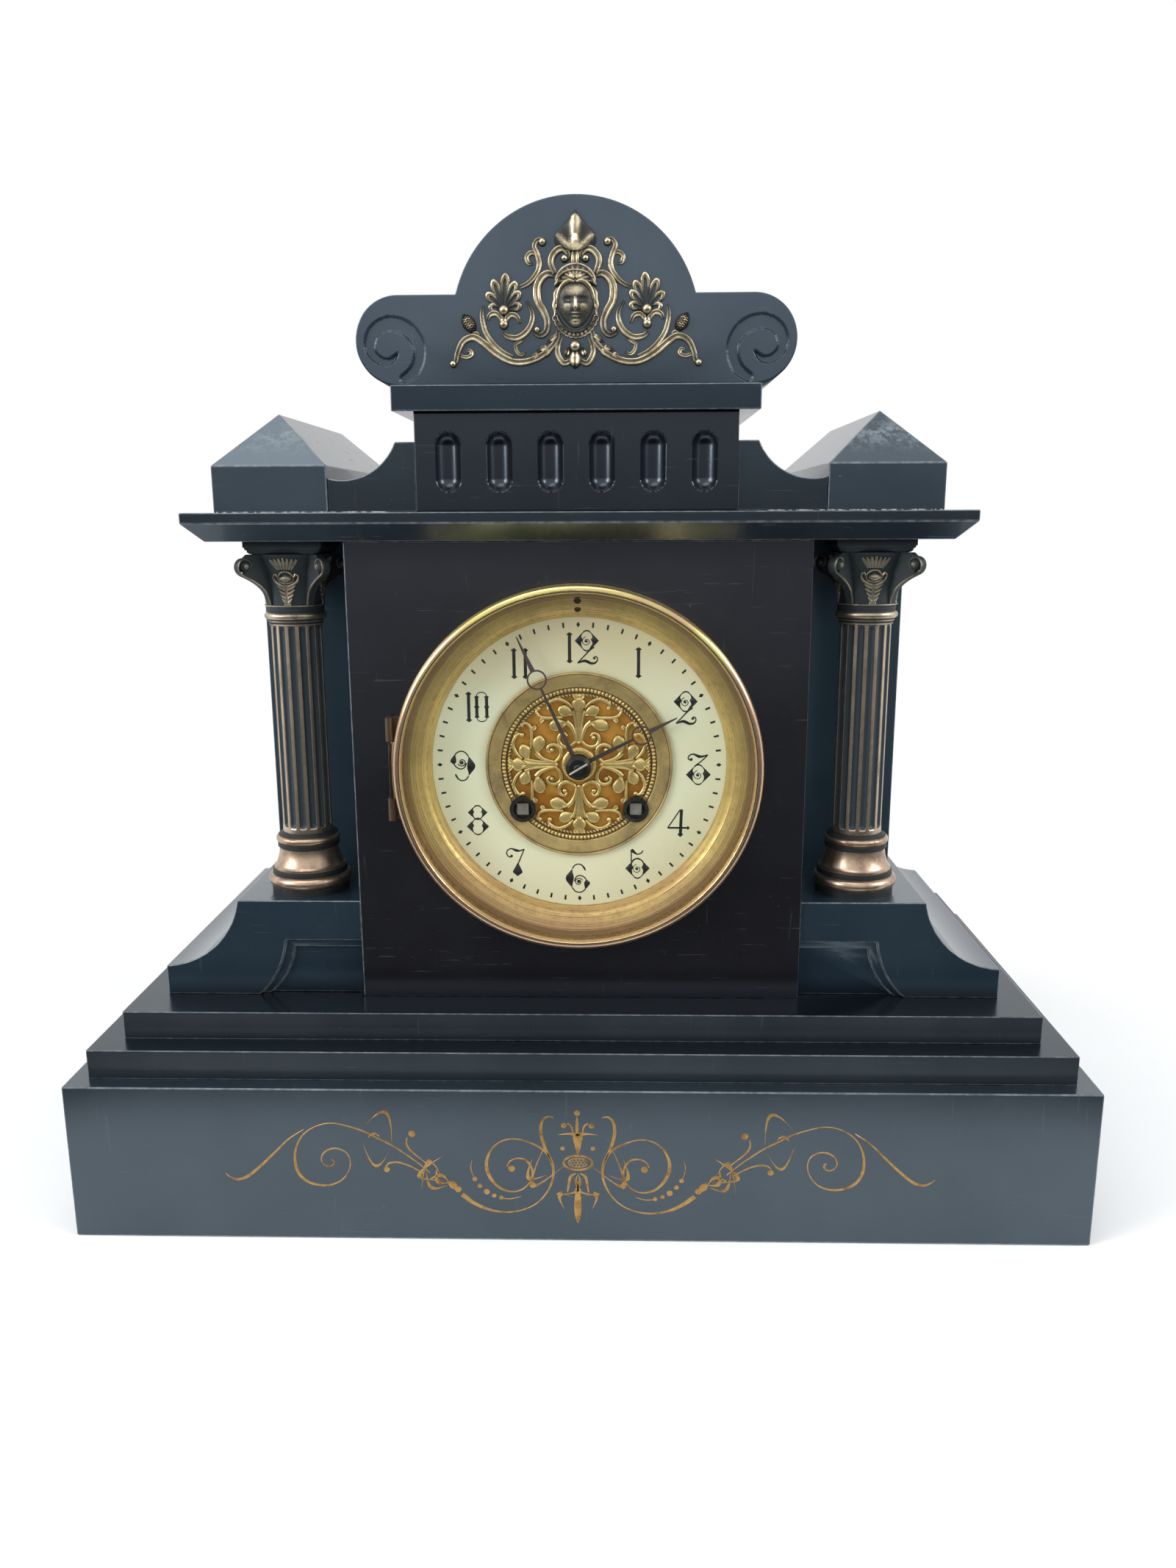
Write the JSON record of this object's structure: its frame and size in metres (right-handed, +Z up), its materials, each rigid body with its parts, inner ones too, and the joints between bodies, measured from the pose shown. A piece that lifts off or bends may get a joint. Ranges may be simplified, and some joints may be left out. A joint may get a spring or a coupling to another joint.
{
  "type": "mantel clock",
  "caption": "Black slate mantel clock with fluted columns, a scrolled pediment with a gilt mask mount, and a round brass spring-driven striking movement with a pendulum.",
  "frame": {"origin": "middle of the footprint (width and full depth with the back door) on the surface that the clock stands on", "axes": "+X to the right as seen from the front, +Y from the dial to the back, +Z up"},
  "size_m": [0.4, 0.1826, 0.3883],
  "materials": {
    "slate": "polished",
    "column_bronze": "patinated",
    "column_gilt": "worn gilt",
    "gilt": "antique gilt",
    "case_brass": "aged",
    "movement_brass": "satin",
    "enamel": "glossy",
    "glass": "clear",
    "steel": "satin",
    "blued_steel": "polished",
    "bell_metal": "turned"
  },
  "bodies": {
    "clock_case": {"plinth": "slate", "middle_step": "slate", "upper_step": "slate", "left_column_plinth": "slate", "right_column_plinth": "slate", "front_panel": "slate", "left_side_slabs": "slate", "right_side_slabs": "slate", "back_slab": "slate", "cornice": "slate", "left_roof_block": "slate", "right_roof_block": "slate", "wings": "slate", "frieze_block": "slate", "pediment_shelf": "slate", "pediment_crest": "slate", "pediment_mount": "gilt", "left_column_base": "column_gilt", "right_column_base": "column_gilt", "left_column_shaft": "column_bronze", "right_column_shaft": "column_bronze", "left_column_capital": "column_bronze", "right_column_capital": "column_bronze", "dial_ring": "case_brass", "enamel_dial": "enamel", "dial_medallion": "gilt", "dial_backing": "movement_brass", "winding_bushes": "case_brass", "hinge_pins": "steel", "case_straps": "movement_brass", "rear_ring": "case_brass", "front_plate": "movement_brass", "back_plate": "movement_brass", "suspension_cock": "movement_brass", "bell": "bell_metal"},
    "bezel_door": {"bezel": "case_brass", "bezel_glass": "glass"},
    "rear_door_leaf": {"rear_door": "case_brass"},
    "going_winder": {"going_arbor": "steel"},
    "strike_winder": {"strike_arbor": "steel"},
    "going_drum": {"going_barrel": "movement_brass"},
    "going_second": {"second_wheel": "movement_brass"},
    "minute_work": {"centre_wheel": "movement_brass", "cannon_pinion": "steel", "minute_hand": "blued_steel", "hand_collet": "case_brass"},
    "going_third": {"third_wheel": "movement_brass"},
    "escape": {"escape_wheel": "movement_brass"},
    "pallet_arbor": {"pallets": "steel"},
    "pendulum_body": {"pendulum": "steel", "pendulum_bob": "movement_brass"},
    "motion_wheel": {"minute_wheel": "movement_brass"},
    "hour_work": {"hour_wheel": "movement_brass", "hour_hand": "blued_steel"},
    "strike_drum": {"strike_barrel": "movement_brass"},
    "strike_second": {"strike_second_wheel": "movement_brass"},
    "strike_pins": {"pin_wheel": "movement_brass"},
    "strike_fly": {"fly": "movement_brass"},
    "strike_hammer": {"hammer": "steel"},
    "regulator": {"regulator_arbor": "steel"}
  },
  "joints": [
    {"name": "bezel_hinge", "type": "hinge", "parent": "clock_case", "child": "bezel_door", "pos_m": [-0.0729, -0.05935, 0.183], "axis": [0, 0, -1], "range_deg": [0, 115]},
    {"name": "rear_door_hinge", "type": "hinge", "parent": "clock_case", "child": "rear_door_leaf", "pos_m": [0.0696, 0.08825, 0.183], "axis": [0, 0, -1], "range_deg": [0, 115]},
    {"name": "going_winding", "type": "hinge", "parent": "clock_case", "child": "going_winder", "pos_m": [0.0225, -0.03635, 0.165], "axis": [0, 1, 0], "continuous": true},
    {"name": "strike_winding", "type": "hinge", "parent": "clock_case", "child": "strike_winder", "pos_m": [-0.0225, -0.03635, 0.165], "axis": [0, 1, 0], "continuous": true},
    {"name": "third_wheel_turn", "type": "hinge", "parent": "clock_case", "child": "going_third", "pos_m": [-0.01076, -0.01835, 0.19535], "axis": [0, 1, 0], "continuous": true},
    {"name": "minute_turn", "type": "hinge", "parent": "clock_case", "child": "minute_work", "pos_m": [0, -0.03135, 0.183], "axis": [0, 1, 0], "continuous": true},
    {"name": "second_wheel_turn", "type": "hinge", "parent": "clock_case", "child": "going_second", "pos_m": [0.01677, -0.00335, 0.18954], "axis": [0, 1, 0], "continuous": true},
    {"name": "going_barrel_turn", "type": "hinge", "parent": "clock_case", "child": "going_drum", "pos_m": [0.0225, -0.01635, 0.165], "axis": [0, 1, 0], "continuous": true},
    {"name": "escape_wheel_turn", "type": "hinge", "parent": "clock_case", "child": "escape", "pos_m": [0, -0.02635, 0.203], "axis": [0, 1, 0], "continuous": true},
    {"name": "motion_wheel_turn", "type": "hinge", "parent": "clock_case", "child": "motion_wheel", "pos_m": [0, -0.03935, 0.195], "axis": [0, 1, 0], "continuous": true},
    {"name": "hour_turn", "type": "hinge", "parent": "clock_case", "child": "hour_work", "pos_m": [0, -0.04335, 0.183], "axis": [0, 1, 0], "continuous": true},
    {"name": "pin_wheel_turn", "type": "hinge", "parent": "clock_case", "child": "strike_pins", "pos_m": [-0.02291, -0.01035, 0.20432], "axis": [0, 1, 0], "continuous": true},
    {"name": "strike_second_turn", "type": "hinge", "parent": "clock_case", "child": "strike_second", "pos_m": [-0.02679, -0.00335, 0.18983], "axis": [0, 1, 0], "continuous": true},
    {"name": "strike_barrel_turn", "type": "hinge", "parent": "clock_case", "child": "strike_drum", "pos_m": [-0.0225, -0.01635, 0.165], "axis": [0, 1, 0], "continuous": true},
    {"name": "fly_turn", "type": "hinge", "parent": "clock_case", "child": "strike_fly", "pos_m": [-0.02084, -0.01735, 0.21602], "axis": [0, 1, 0], "continuous": true},
    {"name": "hammer_swing", "type": "hinge", "parent": "clock_case", "child": "strike_hammer", "pos_m": [-0.03662, 0.00865, 0.20761], "axis": [0, 1, 0], "range_deg": [0, 18], "stiffness_Nm_per_rad": 0.02, "springref_deg": -5.73},
    {"name": "pendulum_swing", "type": "hinge", "parent": "clock_case", "child": "pendulum_body", "pos_m": [0, 0.01565, 0.226], "axis": [0, 1, 0], "range_deg": [-4, 4]},
    {"name": "pallets_swing", "type": "hinge", "parent": "clock_case", "child": "pallet_arbor", "pos_m": [0, 0.00665, 0.219], "axis": [0, 1, 0], "range_deg": [-5, 5]},
    {"name": "regulator_turn", "type": "hinge", "parent": "clock_case", "child": "regulator", "pos_m": [0, -0.02135, 0.2476], "axis": [0, 1, 0], "continuous": true}
  ],
  "couplings": [
    {"joint": "minute_turn", "follows": "third_wheel_turn", "ratio": -0.083333},
    {"joint": "second_wheel_turn", "follows": "third_wheel_turn", "ratio": 0.016667},
    {"joint": "going_barrel_turn", "follows": "third_wheel_turn", "ratio": -0.0027778},
    {"joint": "escape_wheel_turn", "follows": "third_wheel_turn", "ratio": -10},
    {"joint": "motion_wheel_turn", "follows": "third_wheel_turn", "ratio": 0.027778},
    {"joint": "hour_turn", "follows": "third_wheel_turn", "ratio": -0.0069444},
    {"joint": "strike_second_turn", "follows": "pin_wheel_turn", "ratio": -0.2},
    {"joint": "strike_barrel_turn", "follows": "pin_wheel_turn", "ratio": 0.033333},
    {"joint": "fly_turn", "follows": "pin_wheel_turn", "ratio": -10},
    {"joint": "pallets_swing", "follows": "pendulum_swing", "ratio": 1.2333}
  ]
}
